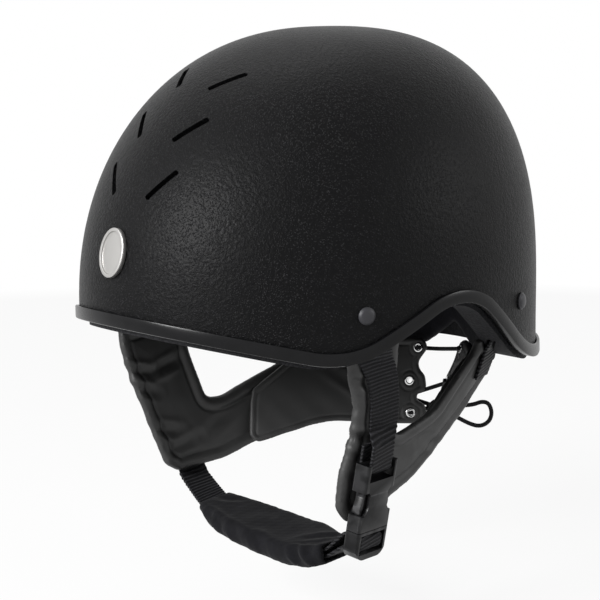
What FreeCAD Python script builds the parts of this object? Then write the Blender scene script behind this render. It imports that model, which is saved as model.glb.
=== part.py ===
import FreeCAD, Part
import math
import os

from FreeCAD import Matrix, Vector

# Jockey skull cap, millimetres.
# X points to the wearer's left, -Y to the front and +Z up. The origin is the centre of the head
# in plan, at the level of the front rim.

# Shell
shell_half_length = 125.3
shell_half_width = 103.8
shell_height = 133.5
shell_wall = 3.0
crown_setback = 9.3
front_fullness = (2.0, 2.3)
rear_fullness = (2.47, 2.55)
side_fullness = (2.45, 2.37)
skirt_depth = 62.0
crown_flat = 87.0
dome_levels = 11

# Rim seen from the side: y, z and corner radius of the line where shell and trim meet
rim_line = [
    (-165.0, 10.8, 0.0),
    (-54.6, -17.4, 45.0),
    (13.6, 18.0, 42.0),
    (72.4, -29.0, 55.0),
    (165.0, -29.0, 0.0),
]

# Edge trim
trim_height = 6.5
trim_proud = 2.0
trim_inner_lip = 1.5
trim_floor = 2.2
trim_fit = 0.15

# Liner and pads
liner_gap = 0.3
liner_wall = 18.0
liner_lip = 2.0
pad_gap = 0.3
pad_wall = 5.0
headband_height = 30.0
headband_drop = 4.0
rear_pad_start = 42.0
crown_pad_length = 128.0
crown_pad_width = 38.0
nape_pad_top = 16.0
nape_pad_wall = 5.6
nape_pad_outline = [
    (-58.0, 0.0, 8.0),
    (-52.0, -43.0, 14.0),
    (-22.0, -43.0, 10.0),
    (0.0, -27.0, 4.0),
    (22.0, -43.0, 10.0),
    (52.0, -43.0, 14.0),
    (58.0, 0.0, 8.0),
]

# Vent slots on the wearer's left: bearing from the front in degrees and height of both ends
vent_slots = [
    ((7.8, 56.2), (16.0, 69.6)),
    ((8.9, 83.0), (18.6, 93.6)),
    ((9.7, 106.5), (22.5, 113.9)),
]
vent_width = 3.4
vent_depth = 9.0
slot_blunt = 0.98
slot_sharp = 0.6

# Badge
badge_height_on_shell = 29.5
badge_half_height = 12.2
badge_half_width = 9.6
badge_plate = 1.6
badge_rim_height = 1.0
badge_rim_width = 1.8
badge_reach = 10.0

# Rivets: bearing from the front and height of the left pair
front_rivet = (68.9, 2.4)
rear_rivet = (119.7, -2.6)
rivet_head = 8.6
rivet_dome = 2.2
rivet_shank = 4.0
rivet_bore = 4.4
rivet_tip = 0.9
rivet_edge = 0.7
rivet_rings = (0.4, 0.75, 1.0)
washer_size = 11.0
washer_thick = 1.0

# Webbing and leather of the harness
web_width = 17.6
web_thick = 1.6
web_gap = 0.35
web_bend_share = 0.3
harness_gap = 0.4
harness_pad_wall = 4.2
flap_wall = 2.6

# Plan curves of the side wall that the harness pads follow: y, x at the rim and at the bottom
harness_top_level = 12.0
harness_low_level = -112.0
harness_top_plan = [(-72.0, 80.1), (-3.0, 92.0), (76.0, 76.4)]
harness_low_plan = [(-72.0, 61.0), (-30.0, 69.0), (62.0, 33.0)]

# Outlines of the harness pads as they hang: y, z and corner radius
left_pad_outline = [
    (-44.0, 10.0, 3.0),
    (-43.4, -20.0, 20.0),
    (-36.4, -44.0, 20.0),
    (-36.0, -60.0, 20.0),
    (-40.6, -80.0, 30.0),
    (-40.6, -97.0, 9.0),
    (-34.5, -104.0, 6.0),
    (-20.0, -105.0, 9.0),
    (-8.0, -95.0, 12.0),
    (8.0, -88.5, 40.0),
    (44.0, -64.0, 60.0),
    (74.0, -44.0, 12.0),
    (75.0, 8.0, 3.0),
    (52.0, 8.0, 3.0),
    (52.0, -26.0, 14.0),
    (20.0, -56.0, 26.0),
    (-13.0, -66.0, 7.0),
    (-17.0, 10.0, 3.0),
]
right_pad_outline = [
    (-67.0, 10.0, 3.0),
    (-69.4, -34.0, 40.0),
    (-44.6, -97.5, 7.0),
    (-37.0, -102.0, 6.0),
    (-8.0, -99.6, 20.0),
    (26.0, -88.0, 40.0),
    (50.0, -65.0, 60.0),
    (74.0, -36.0, 20.0),
    (75.0, 8.0, 3.0),
    (52.0, 8.0, 3.0),
    (52.0, -28.0, 14.0),
    (36.0, -52.5, 20.0),
    (-3.0, -68.0, 20.0),
    (-14.0, -68.0, 6.0),
    (-22.6, -40.0, 40.0),
    (-22.6, 10.0, 3.0),
]
pocket_margin = 1.5
pocket_depth = 3.0
pocket_foot = 10.0

# Centre of the front webs below the rivet: y, z and width
left_web_course = [
    (-31.0, -21.0, 21.5),
    (-27.6, -26.0, 20.2),
    (-24.8, -31.5, 18.8),
    (-22.6, -38.0, 17.8),
    (-21.2, -45.0, 17.6),
    (-20.6, -52.0, 17.6),
    (-20.4, -58.0, 17.6),
]
right_web_course = [
    (-36.0, -21.0, 20.0),
    (-33.0, -29.0, 19.0),
    (-30.8, -38.0, 18.0),
    (-29.6, -50.0, 17.6),
    (-28.2, -64.0, 17.6),
    (-27.0, -78.0, 17.6),
    (-26.0, -90.0, 17.6),
    (-25.6, -101.2, 17.6),
]
rear_web_course = [
    (62.5, -30.0, 17.6),
    (61.6, -35.0, 17.6),
    (60.4, -40.0, 17.6),
    (59.0, -45.0, 17.6),
]
web_top_reach = 7.6
web_under_shell = 0.5
web_under_trim = 4.4
web_on_pad = 0.6

# Nape flaps, on a wall that closes in towards the back of the neck: x and y of its plan curves
flap_top_level = -25.0
flap_low_level = -95.0
flap_top_plan = [(76.0, 28.0), (58.0, 65.0), (0.0, 94.0)]
flap_low_plan = [(63.0, 4.0), (37.0, 43.0), (3.0, 88.0)]
flap_origin = (66.0, 6.0)
flap_heading = 38.3

# Outlines along the flap's heading and up: distance, z and corner radius
left_flap_outline = [
    (4.0, -64.0, 4.0),
    (3.0, -82.0, 5.0),
    (40.0, -76.0, 60.0),
    (88.0, -77.0, 6.0),
    (103.0, -78.5, 3.6),
    (103.0, -66.0, 8.0),
    (88.0, -46.0, 12.0),
    (88.5, -33.5, 4.0),
    (34.0, -36.0, 20.0),
]
right_flap_outline = [
    (4.0, -66.0, 4.0),
    (3.0, -93.5, 5.0),
    (44.0, -82.0, 60.0),
    (84.0, -83.5, 20.0),
    (98.5, -83.5, 3.6),
    (98.5, -74.0, 3.6),
    (89.5, -69.5, 3.0),
    (99.0, -65.5, 3.6),
    (98.0, -57.5, 3.6),
    (92.5, -54.0, 6.0),
    (103.0, -38.0, 4.0),
    (90.0, -39.0, 4.0),
    (34.0, -44.0, 20.0),
]
left_eyelets = [(83.0, -38.6), (90.0, -57.5), (97.0, -72.5)]
right_eyelets = [(96.4, -43.6), (91.0, -61.5), (91.0, -78.5)]
lace_notch = [(91.5, -68.0), (91.5, -71.2)]
eyelet_outer = 5.2
eyelet_bore = 2.8
eyelet_flange = 0.7

# Lace
lace_size = 2.3
lace_sides = 8
lace_stub = 2.4
lace_stand_off = 3.3
lace_over_notch = 5.2
lace_fold = 2.4
lace_loop_out = 3.4
lace_lead = 8.0
knot_place = (-5.6, 90.6, -75.1)
knot_core = 2.3
knot_ring = 2.5
knot_turns = [(1.0, 0.0, 0.0), (0.3, 0.2, 1.0)]
bow_heading = 53.1
bow_route = [
    (0.4, -0.4),
    (8.0, 0.0),
    (17.0, 0.3),
    (22.0, 2.2),
    (26.0, 1.2),
    (27.8, -4.4),
    (26.0, -9.4),
    (21.0, -11.8),
    (15.0, -10.0),
    (8.0, -6.0),
    (0.4, -2.4),
]

# Buckle, in its own frame: x towards the nape, y towards the wearer, z up from the socket's mouth
buckle_place = (77.6, -28.9, -106.4)
buckle_bearing = 104.0
buckle_lean = 10.5
buckle_width = 25.0
buckle_thick = 8.6
buckle_round = 1.6
socket_length = 34.5
cavity_width = 21.2
cavity_thick = 4.8
cavity_depth = 24.0
web_slot_low = 26.0
web_slot_high = 30.8
web_bar = (-1.2, 2.6)
slot_width = 19.6
plug_gap = 0.35
plug_length = 15.0
plug_corner = 6.0
plug_toe = 4.0
plug_shoulder = 5.0
plug_shoulder_round = 3.0
plug_slots = (-1.9, -12.1)
plug_bar = (-4.8, -9.2)
plug_bar_faces = (-1.95, 2.0)
tongue_width = 4.2
tongue_length = 19.0
prong_thick = 4.0
prong_pivot = (8.0, 0.6)
prong_angle = 10.0

# Side window of the socket: depth in from the side, z and corner radius
window_outline = [
    (-1.0, 8.2, 0.0),
    (2.2, 8.2, 2.0),
    (5.2, 12.2, 6.0),
    (5.2, 19.0, 2.0),
    (3.6, 20.6, 0.5),
    (-1.0, 20.6, 0.0),
]

# Rear prong's outline: x and z in the buckle's frame, and corner radius
prong_outline = [
    (6.3, 0.4, 0.3),
    (9.7, 0.4, 0.3),
    (9.8, 8.5, 0.4),
    (11.6, 9.1, 0.8),
    (12.2, 12.0, 5.0),
    (10.4, 18.0, 2.0),
    (8.4, 19.4, 1.0),
    (7.6, 22.6, 0.6),
    (6.0, 22.6, 0.5),
]
release_travel = 24.0
tail_height = 43.0

# Web through the plug: y and z in the buckle's frame, both ends inside the sleeve
plug_web_route = [
    (26.0, -20.4, 0.0),
    (16.0, -15.8, 8.0),
    (7.0, -3.65, 5.0),
    (-3.1, -3.65, 1.8),
    (-3.1, -10.35, 1.8),
    (6.0, -10.35, 5.0),
    (14.8, -18.9, 8.0),
    (24.6, -23.4, 0.0),
]

# Chin strap from the right harness to the sleeve: centre, turn and tilt of its width in degrees
chin_course = [
    ((-71.6, -25.6, -101.7), 0.0, -2.0),
    ((-70.0, -25.7, -105.0), 0.0, 0.0),
    ((-63.4, -26.3, -109.6), 0.0, 3.0),
    ((-54.5, -28.0, -113.2), 0.0, 6.0),
    ((-45.0, -30.0, -116.2), 0.0, 8.0),
    ((-24.0, -31.4, -119.8), 0.0, 8.0),
    ((0.0, -31.8, -121.9), 0.0, 8.0),
    ((24.0, -31.6, -123.3), 2.0, 8.0),
    ((38.0, -32.4, -123.3), 6.0, 7.0),
]

# Padded sleeve round it: centre, turn, tilt, width and thickness, and the same of its bore
sleeve_course = [
    ((-45.0, -30.0, -116.2), 0.0, 8.0, (21.5, 4.8), (18.4, 2.4)),
    ((-38.0, -30.6, -117.6), 0.0, 8.0, (25.0, 7.0), (18.6, 2.4)),
    ((-22.0, -31.5, -120.0), 0.0, 8.0, (32.0, 9.2), (19.0, 2.4)),
    ((0.0, -31.8, -121.9), 0.0, 8.0, (36.0, 10.4), (19.0, 2.4)),
    ((24.0, -31.4, -123.3), 2.0, 8.0, (38.0, 10.8), (19.6, 2.8)),
    ((42.0, -32.8, -123.2), 8.0, 7.0, (36.0, 10.8), (21.4, 6.6)),
    ((52.0, -33.8, -122.6), 12.0, 4.0, (32.0, 10.0), (21.8, 7.2)),
    ((59.0, -33.2, -120.8), 14.0, 1.0, (27.0, 9.6), (21.2, 7.4)),
]


def export(shape, name):
    """Write one sub-part and say what it is made of."""
    shape.exportStep("parts/%s.step" % name)
    print("%-22s solids %d  volume %9.1f  valid %s" % (
        name, len(shape.Solids), shape.Volume, shape.isValid()))


# Plane outlines with rounded corners

def corner_arc(before, corner, after, radius):
    """Start, middle and end of the arc that rounds a corner."""
    inward = (before - corner).normalize()
    outward = (after - corner).normalize()
    turn = math.pi - inward.getAngle(outward)
    reach = radius * math.tan(turn / 2)
    middle_way = (inward + outward).normalize()
    middle = corner + middle_way * (radius / math.cos(turn / 2) - radius)
    return corner + inward * reach, middle, corner + outward * reach


def rounded_edges(points, closed):
    """Lines and tangent arcs through (u, v, radius) corners, in the XY plane."""
    corners = [Vector(u, v, 0) for u, v, _ in points]
    count = len(points)
    stops = []
    arcs = []
    for index, (_, _, radius) in enumerate(points):
        ends = not closed and index in (0, count - 1)
        if radius == 0 or ends:
            stops.append((corners[index], corners[index]))
            arcs.append(None)
            continue
        before = corners[index - 1]
        after = corners[(index + 1) % count]
        start, middle, end = corner_arc(before, corners[index], after, radius)
        stops.append((start, end))
        arcs.append(Part.Arc(start, middle, end).toShape())
    edges = []
    for index in range(count):
        if arcs[index]:
            edges.append(arcs[index])
        if index == count - 1 and not closed:
            break
        leave = stops[index][1]
        arrive = stops[(index + 1) % count][0]
        if leave.distanceToPoint(arrive) > 1e-4:
            edges.append(Part.LineSegment(leave, arrive).toShape())
    return edges


def offset_corners(points, distance):
    """The same open line moved sideways, to its right where the distance is positive."""
    moved = []
    count = len(points)
    for index, (u, v, radius) in enumerate(points):
        here = Vector(u, v, 0)
        ways = []
        if index > 0:
            ways.append((here - Vector(*points[index - 1][:2], 0)).normalize())
        if index < count - 1:
            ways.append((Vector(*points[index + 1][:2], 0) - here).normalize())
        normals = [Vector(way.y, -way.x, 0) for way in ways]
        mean = (normals[0] + normals[-1]).normalize()
        place = here + mean * (distance / mean.dot(normals[0]))
        turn = ways[0].cross(ways[-1]).z
        grown = radius + distance * (1 if turn > 0 else -1)
        moved.append((place.x, place.y, grown if radius else 0.0))
    return moved


def frame(origin, along, up):
    """Matrix that takes plane outlines (u, v) to a plane in space."""
    across = along.cross(up)
    return Matrix(
        along.x, up.x, across.x, origin.x,
        along.y, up.y, across.y, origin.y,
        along.z, up.z, across.z, origin.z,
        0, 0, 0, 1)


def plate(edges, place, low, high):
    """Solid on a closed outline, from low to high along the frame's normal."""
    face = Part.Face(Part.Wire(edges))
    face.translate(Vector(0, 0, low))
    solid = face.extrude(Vector(0, 0, high - low))
    solid.transformShape(place)
    return solid


SIDE_VIEW = frame(Vector(0, 0, 0), Vector(0, 1, 0), Vector(0, 0, 1))
REAR_VIEW = frame(Vector(0, 0, 0), Vector(1, 0, 0), Vector(0, 0, 1))
FAR = 160.0


# Dome

def fullness_at(share, fullness):
    power, root = fullness
    return (1 - share ** power) ** (1 / root)


def dome_size(z, inset):
    """Half-width, front and rear half-lengths and centre of the dome's section at a height."""
    share = max(z, 0) / (shell_height - inset)
    half_width = (shell_half_width - inset) * fullness_at(share, side_fullness)
    front = (shell_half_length - inset) * fullness_at(share, front_fullness)
    rear = (shell_half_length - inset) * fullness_at(share, rear_fullness)
    return half_width, front, rear, crown_setback * share ** 2


def dome_wire(z, inset):
    half_width, front, rear, centre = dome_size(z, inset)
    circle = Part.Circle(Vector(0, 0, 0), Vector(0, 0, 1), 1)
    quarters = []
    for index in range(4):
        quarter = Part.Edge(circle, index * math.pi / 2, (index + 1) * math.pi / 2)
        length = rear if index < 2 else front
        stretch = Matrix(
            half_width, 0, 0, 0,
            0, length, 0, centre,
            0, 0, 1, z,
            0, 0, 0, 1)
        quarters.append(quarter.transformGeometry(stretch))
    return Part.Wire(quarters)


def dome(inset):
    """Closed dome, smaller all round by the inset, with a straight skirt below z = 0."""
    height = shell_height - inset
    wires = [dome_wire(-skirt_depth, inset), dome_wire(-skirt_depth / 2, inset)]
    for index in range(dome_levels + 1):
        angle = math.radians(crown_flat * index / dome_levels)
        wires.append(dome_wire(height * math.sin(angle) ** (2 / side_fullness[0]), inset))
    return Part.makeLoft(wires, True)


def on_dome(bearing, z, inset=0.0):
    """Point of the dome at a bearing from the front, positive to the wearer's left."""
    half_width, front, rear, centre = dome_size(z, inset)
    angle = math.radians(bearing)
    length = front if math.cos(angle) > 0 else rear
    return Vector(half_width * math.sin(angle), centre - length * math.cos(angle), z)


def off_dome(bearing, z):
    """Outward normal of the dome."""
    step = 0.2
    round_way = on_dome(bearing + step, z) - on_dome(bearing - step, z)
    up_way = on_dome(bearing, z + step) - on_dome(bearing, z - step)
    return round_way.cross(up_way).normalize()


def between(inner_inset, outer_inset):
    return dome(outer_inset).cut(dome(inner_inset))


def under_rim(drop):
    """Everything lower than a line that runs this far below the rim line."""
    edges = rounded_edges(offset_corners(rim_line, drop), False)
    start = edges[0].Vertexes[0].Point
    end = edges[-1].Vertexes[-1].Point
    low = [(end.x, -FAR), (start.x, -FAR)]
    stops = [end] + [Vector(u, v, 0) for u, v in low] + [start]
    for first, second in zip(stops, stops[1:]):
        edges.append(Part.LineSegment(first, second).toShape())
    return plate(edges, SIDE_VIEW, -FAR, FAR)


def mirrored(shape):
    return shape.mirror(Vector(0, 0, 0), Vector(1, 0, 0))


# Shell, trim and badge

def vent_cutters():
    cutters = []
    for low, high in vent_slots:
        for side in (1, -1):
            first = on_dome(side * low[0], low[1])
            second = on_dome(side * high[0], high[1])
            middle = (first + second) / 2
            out = off_dome(side * (low[0] + high[0]) / 2, (low[1] + high[1]) / 2)
            along = (second - first).normalize()
            up = out.cross(along).normalize()
            half = (second - first).Length / 2
            edge = vent_width / 2
            corners = [(-half, -edge, edge * slot_blunt), (half, -edge, edge * slot_sharp),
                       (half, edge, edge * slot_blunt), (-half, edge, edge * slot_sharp)]
            place = frame(middle, along, up)
            cutters.append(plate(rounded_edges(corners, True), place, -vent_depth, vent_depth))
    return cutters


def rivet_places():
    """Place and outward direction of the four rivets, left pair first."""
    places = []
    for side, word in ((1, "left"), (-1, "right")):
        for name, (bearing, z) in (("front", front_rivet), ("rear", rear_rivet)):
            out = off_dome(side * bearing, z)
            places.append(("%s_rivet_%s" % (name, word), on_dome(side * bearing, z), out))
    return places


def outer_shell():
    shell = between(shell_wall, 0).cut(under_rim(trim_height - trim_floor))
    holes = vent_cutters()
    for _, point, out in rivet_places():
        holes.append(Part.makeCylinder(rivet_bore / 2, 4 * shell_wall,
                                       point - out * 2 * shell_wall, out))
    return shell.cut(holes)


def edge_trim():
    """Moulded channel that grips the shell's edge, rounded along its foot."""
    band = between(shell_wall + trim_inner_lip, -trim_proud)
    band = band.common(under_rim(0)).cut(under_rim(trim_height))
    groove = between(shell_wall + trim_fit, -trim_fit)
    groove = groove.cut(under_rim(trim_height - trim_floor + trim_fit))
    return band.cut(groove)


def front_badge():
    """Plain oval plate with a raised rim, curved to the shell."""
    point = on_dome(0, badge_height_on_shell)
    out = off_dome(0, badge_height_on_shell)
    up = Vector(1, 0, 0).cross(out) * -1
    place = frame(point, Vector(1, 0, 0) * -1, up)

    def oval(shrink):
        curve = Part.Ellipse(Vector(0, 0, 0), badge_half_height - shrink, badge_half_width - shrink)
        edge = curve.toShape()
        edge.rotate(Vector(0, 0, 0), Vector(0, 0, 1), 90)
        return plate([edge], place, -badge_reach, badge_reach)

    whole = oval(0)
    field = oval(badge_rim_width)
    base = between(-trim_fit, -badge_plate).common(whole)
    rim = between(-trim_fit, -badge_plate - badge_rim_height).common(whole.cut(field))
    return base.fuse(rim).removeSplitter()


# Liner and pads

def strap_pockets():
    """Room in the liner for the four web ends with their rivets."""
    left = [web_room(left_front_course()), rivet_room(*front_rivet),
            web_room(rear_course()), rivet_room(*rear_rivet)]
    right = [web_room(right_front_course())] + left[1:]
    return left + [mirrored(shape) for shape in right]


def web_room(stations):
    """A web's own shape, grown by the pocket's margins."""
    room = []
    for index, (centre, across, width, thick) in enumerate(stations):
        lift = Vector(0, 0, pocket_margin) if index == 0 else Vector(0, 0, 0)
        room.append((centre + lift, across, width + 2 * pocket_margin, thick + pocket_depth))
    return strip(room)


def rivet_room(bearing, z):
    radius = washer_size / 2 + pocket_margin
    return Part.makeCylinder(radius, pocket_foot, on_dome(bearing, z), off_dome(bearing, z) * -1)


def impact_liner():
    outer = shell_wall + liner_gap
    body = between(outer + liner_wall, outer)
    trim_room = between(shell_wall + trim_inner_lip + liner_gap, 0).common(under_rim(-liner_gap))
    return body.cut([under_rim(trim_height + liner_lip), trim_room] + strap_pockets())


def pad_skin(wall):
    outer = shell_wall + liner_gap + liner_wall + pad_gap
    return between(outer + wall, outer)


def headband_pad():
    """Padded band round the forehead and temples, open at the nape."""
    band = pad_skin(pad_wall)
    roof = Part.makeBox(2 * FAR, 2 * FAR, FAR, Vector(-FAR, -FAR, headband_height))
    rear = Part.makeBox(2 * FAR, FAR, 2 * FAR, Vector(-FAR, rear_pad_start, -FAR))
    return band.cut([roof, rear, under_rim(headband_drop)])


def nape_pad():
    """Deep pad at the back of the neck, with a notch over the lacing."""
    band = pad_skin(nape_pad_wall)
    half, _, corner = nape_pad_outline[-1]
    top = [(-half, nape_pad_top, corner)]
    corners = top + nape_pad_outline + [(half, nape_pad_top, corner)]
    outline = plate(rounded_edges(corners, True), REAR_VIEW, -FAR, -rear_pad_start - pad_gap)
    return band.common(outline)


def crown_pad():
    """Cross-shaped pad under the crown."""
    skin = pad_skin(pad_wall)
    half = crown_pad_length / 2
    edge = crown_pad_width / 2
    corners = [(-half, -edge, edge * slot_blunt), (half, -edge, edge * slot_blunt),
               (half, edge, edge * slot_blunt), (-half, edge, edge * slot_blunt)]
    cross = None
    for angle in (45, 135):
        arm = Part.Face(Part.Wire(rounded_edges(corners, True)))
        arm.rotate(Vector(0, 0, 0), Vector(0, 0, 1), angle)
        arm.translate(Vector(0, crown_setback, 0))
        arm = arm.extrude(Vector(0, 0, FAR))
        cross = arm if cross is None else cross.fuse(arm)
    return skin.common(cross)


# Harness

def wall_point(top, low, share, reached):
    """Point of a ruled wall at a share of its depth where a measure along it is reached."""
    arcs = [Part.Arc(*points) for points in (top, low)]
    near = 0.0
    far = 1.0
    while far - near > 1e-5:
        middle = (near + far) / 2
        spots = [arc.value(arc.FirstParameter + middle * (arc.LastParameter - arc.FirstParameter))
                 for arc in arcs]
        point = spots[0] * (1 - share) + spots[1] * share
        if reached(point):
            far = middle
        else:
            near = middle
    return point


def harness_plans():
    """The two plan curves of the left side wall, front end first."""
    return [[Vector(x, y, 0) for y, x in plan] for plan in (harness_top_plan, harness_low_plan)]


def harness_point(y, z):
    """Point of the outer face of the side wall that the pads follow."""
    top, low = harness_plans()
    share = (harness_top_level - z) / (harness_top_level - harness_low_level)
    point = wall_point(top, low, share, lambda spot: spot.y > y)
    return Vector(point.x, y, z)


def curved_wall(top, low, top_level, low_level, inset, thick):
    """Upright wall between two plan curves, each given by three Vectors."""
    def section(points, level):
        first = [point + Vector(0, 0, level) for point in points]
        chord = (first[2] - first[0]).normalize()
        inward = Vector(-chord.y, chord.x, 0)
        near = [point + inward * inset for point in first]
        far = [point + inward * (inset + thick) for point in first]
        return Part.Wire([
            Part.Arc(*near).toShape(),
            Part.LineSegment(near[2], far[2]).toShape(),
            Part.Arc(far[2], far[1], far[0]).toShape(),
            Part.LineSegment(far[0], near[0]).toShape()])
    return Part.makeLoft([section(top, top_level), section(low, low_level)], True, True)


def harness_wall(inset, thick):
    top, low = harness_plans()
    return curved_wall(top, low, harness_top_level, harness_low_level, inset, thick)


def harness_pad(outline):
    """Pad on the side wall, cut off just under the liner's lip."""
    wall = harness_wall(0, harness_pad_wall)
    wall = wall.common(under_rim(trim_height + liner_lip + harness_gap))
    return wall.common(plate(rounded_edges(outline, True), SIDE_VIEW, 0, FAR))


def flap_frame():
    angle = math.radians(flap_heading)
    along = Vector(-math.sin(angle), math.cos(angle), 0)
    return frame(Vector(flap_origin[0], flap_origin[1], 0), along, Vector(0, 0, 1))


def flap_plans():
    """The two plan curves of the left flap's wall, front end first."""
    return [[Vector(x, y, 0) for x, y in plan] for plan in (flap_top_plan, flap_low_plan)]


def flap_spot(distance, z, side, stand_off):
    """Point off a flap's outer face, at a distance along its heading; side is -1 on the right."""
    place = flap_frame()
    along = Vector(place.A11, place.A21, 0)
    origin = Vector(flap_origin[0], flap_origin[1], 0)
    top, low = flap_plans()

    def face(reach, level):
        share = (flap_top_level - level) / (flap_top_level - flap_low_level)
        point = wall_point(top, low, share, lambda spot: (spot - origin).dot(along) > reach)
        return Vector(point.x, point.y, level)

    point = face(distance, z)
    out = (face(distance + 1, z) - face(distance - 1, z)).cross(face(distance, z + 1) - point)
    spot = point + out.normalize() * stand_off
    return Vector(side * spot.x, spot.y, spot.z)


def nape_flap(outline, eyelets):
    top, low = flap_plans()
    wall = curved_wall(top, low, flap_top_level, flap_low_level, 0, flap_wall)
    flap = wall.common(plate(rounded_edges(outline, True), flap_frame(), -FAR / 2, FAR / 2))
    radius = eyelet_bore / 2 + eyelet_flange + trim_fit
    bores = []
    for distance, z in eyelets:
        start = flap_spot(distance, z, 1, -3 * flap_wall)
        way = flap_spot(distance, z, 1, 0) - start
        bores.append(Part.makeCylinder(radius, 6 * flap_wall, start, way))
    return flap.cut(bores)


# Webbing

def strip(stations, ruled=True):
    """Flat web through stations of (centre, direction across, width, thickness)."""
    wires = []
    last = len(stations) - 1
    for index, (centre, across, width, thick) in enumerate(stations):
        before = stations[max(index - 1, 0)][0]
        after = stations[min(index + 1, last)][0]
        normal = (after - before).cross(across).normalize()
        side = across * (width / 2)
        rise = normal * (thick / 2)
        corners = [centre - side - rise, centre + side - rise,
                   centre + side + rise, centre - side + rise]
        wires.append(Part.makePolygon(corners + corners[:1]))
    return Part.makeLoft(wires, True, ruled)


def wall_place(y, z, stand_off):
    """Point off the outer face of the harness wall, and the horizontal way along the wall."""
    step = 1.0
    way = (harness_point(y + step, z) - harness_point(y - step, z)).normalize()
    out = Vector(way.y, -way.x, 0)
    return harness_point(y, z) + out * stand_off, way


def rivet_course(bearing, z, toward):
    """Web stations behind a rivet and under the trim; the course leans towards a given y."""
    under = shell_wall + web_under_shell + web_thick / 2
    levels = [
        (z + web_top_reach, 0.0, under),
        (z, 0.0, under),
        (z - web_top_reach, 0.15, under),
        (z - 2 * web_top_reach, 0.5, under + web_under_trim),
    ]
    stations = []
    start = on_dome(bearing, z)
    for level, share, inset in levels:
        point = on_dome(bearing, max(level, 0.0), inset)
        point.z = level
        out = off_dome(bearing, max(level, 0.0))
        way = Vector(-out.y, out.x, 0).normalize()
        point = point + way * ((toward - start.y) * share)
        stations.append((point, way, web_width, web_thick))
    return stations


def wall_course(course):
    stations = []
    for y, z, width in course:
        point, way = wall_place(y, z, web_on_pad + web_thick / 2)
        stations.append((point, way, width, web_thick))
    return stations


def left_front_course():
    """Stations of the left front web, down to where it meets the loop round the buckle's bar."""
    nape, wearer, up = buckle_ways()
    foot = Vector(*buckle_place) + wearer * web_outer_pass() + up * tail_height
    stations = rivet_course(*front_rivet, left_web_course[0][0]) + wall_course(left_web_course)
    return stations + [(foot, nape, web_width, web_thick)]


def right_front_course():
    return rivet_course(*front_rivet, right_web_course[0][0]) + wall_course(right_web_course)


def rear_course():
    return rivet_course(*rear_rivet, rear_web_course[0][0]) + wall_course(rear_web_course)


def rivet_holes(side_webs, bearing, z):
    point = on_dome(bearing, z)
    out = off_dome(bearing, z)
    reach = 4 * shell_wall
    return side_webs.cut(Part.makeCylinder(rivet_bore / 2, 2 * reach, point - out * reach, out))


def buckle_ways():
    """Ways of the buckle's frame: to the nape, to the wearer and up."""
    bearing = math.radians(buckle_bearing)
    lean = math.radians(buckle_lean)
    out = Vector(math.sin(bearing), -math.cos(bearing), 0)
    nape = Vector(math.cos(bearing), math.sin(bearing), 0)
    up = out * math.sin(lean) + Vector(0, 0, 1) * math.cos(lean)
    wearer = out * -math.cos(lean) + Vector(0, 0, 1) * math.sin(lean)
    return nape, wearer, up


def buckle_frame():
    nape, wearer, up = buckle_ways()
    origin = Vector(*buckle_place)
    return Matrix(
        nape.x, wearer.x, up.x, origin.x,
        nape.y, wearer.y, up.y, origin.y,
        nape.z, wearer.z, up.z, origin.z,
        0, 0, 0, 1)


def ribbon(points, width, thick):
    """Web through rounded (y, z) points of the buckle's frame, in that frame."""
    left = rounded_edges(offset_corners(points, thick / 2), False)
    right = rounded_edges(offset_corners(points, -thick / 2), False)
    ends = []
    for at in (0, -1):
        first = left[at].Vertexes[at].Point
        second = right[at].Vertexes[at].Point
        ends.append(Part.LineSegment(first, second).toShape())
    outline = Part.Wire(Part.__sortEdges__(left + right + ends))
    face = Part.Face(outline)
    face.transformShape(frame(Vector(-width / 2, 0, 0), Vector(0, 1, 0), Vector(0, 0, 1)))
    return face.extrude(Vector(width, 0, 0))


def in_buckle(shape):
    shape.transformShape(buckle_frame())
    return shape


def web_outer_pass():
    """Middle of the web where it lies on the outer side of the socket's bar."""
    return web_bar[0] - web_gap - web_thick / 2


def web_round_bar():
    """Loop of the left web round the socket's bar, with its tail on the wearer's side."""
    outer = web_outer_pass()
    inner = web_bar[1] + web_gap + web_thick / 2
    low = web_slot_high - web_gap - web_thick / 2
    bend = (inner - outer) * web_bend_share
    route = [(outer, tail_height, 0.0), (outer, low, bend), (inner, low, bend),
             (inner, tail_height, 0.0)]
    return in_buckle(ribbon(route, web_width, web_thick))


def left_front_web():
    """Web from the front rivet down the left pad and round the bar of the buckle's socket."""
    web = strip(left_front_course()).fuse(web_round_bar())
    return rivet_holes(web, *front_rivet)


def right_front_web():
    return mirrored(rivet_holes(strip(right_front_course()), *front_rivet))


def rear_web():
    """Short web from the rear rivet to the pad's rear arm, on the left."""
    return rivet_holes(strip(rear_course()), *rear_rivet)


# Rivets, washers and eyelets

def turned(outline, point, out):
    """Solid of revolution from (radius, height) points, set on a point along its outward way."""
    corners = [Vector(radius, 0, height) for radius, height in outline]
    face = Part.Face(Part.makePolygon(corners + corners[:1]))
    solid = face.revolve(Vector(0, 0, 0), Vector(0, 0, 1), 360)
    solid.Placement = FreeCAD.Placement(point, FreeCAD.Rotation(Vector(0, 0, 1), out))
    return solid


def rivet(point, out):
    """Domed head outside, shank through shell, web and washer, spread foot."""
    radius = rivet_head / 2
    shank = rivet_shank / 2
    seat = trim_fit
    foot = shell_wall + web_under_shell + web_thick + web_gap + washer_thick + seat
    outline = [(0.0, seat + rivet_dome)]
    for share in rivet_rings:
        rise = math.sqrt(1 - share ** 2) * (rivet_dome - rivet_edge) + rivet_edge
        outline.append((radius * share, seat + rise))
    outline += [(radius, seat), (shank, seat), (shank, -foot), (shank + rivet_tip / 2, -foot),
                (shank, -foot - rivet_tip), (0.0, -foot - rivet_tip)]
    return turned(outline, point, out)


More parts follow.
